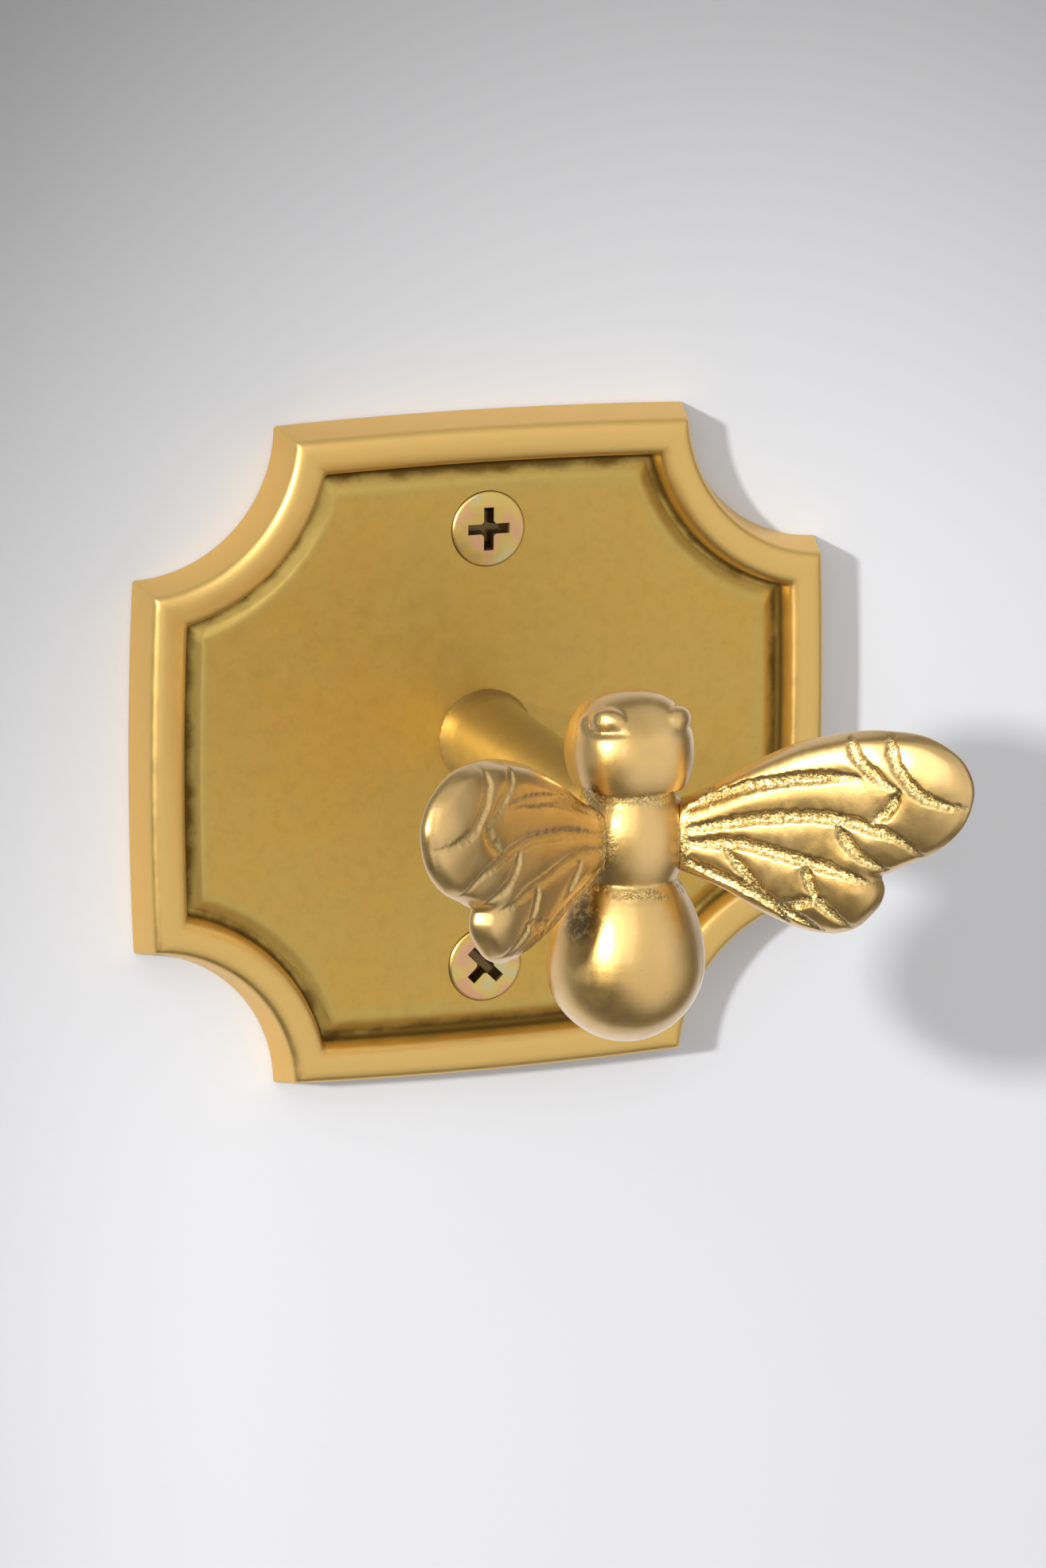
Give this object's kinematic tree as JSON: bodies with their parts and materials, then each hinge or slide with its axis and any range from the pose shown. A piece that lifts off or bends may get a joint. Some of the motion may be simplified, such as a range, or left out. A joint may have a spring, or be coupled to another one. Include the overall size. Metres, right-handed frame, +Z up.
{
  "type": "bath hook",
  "caption": "Wall hook for a bathroom: a brass backplate with concave corners and a round post that ends in a bee with raised, veined wings.",
  "frame": {"origin": "on the wall plane at the backplate's back face, midway between the two wall screws", "axes": "+Y into the wall, so the hook's front faces -Y; +Z up; +X to the right of someone facing the hook"},
  "size_m": [0.077, 0.0943, 0.0714],
  "materials": {
    "plate_brass": "cast, satin lacquered, dark in the recess",
    "bee_brass": "cast and hand polished, sandy in the veins",
    "yellow_zinc": "yellow zinc plated steel",
    "plain_zinc": "zinc plated steel"
  },
  "bodies": {
    "root": {"backplate": "plate_brass", "bee_hook": "bee_brass", "wall_screws": "yellow_zinc", "post_screw": "plain_zinc"}
  },
  "joints": []
}
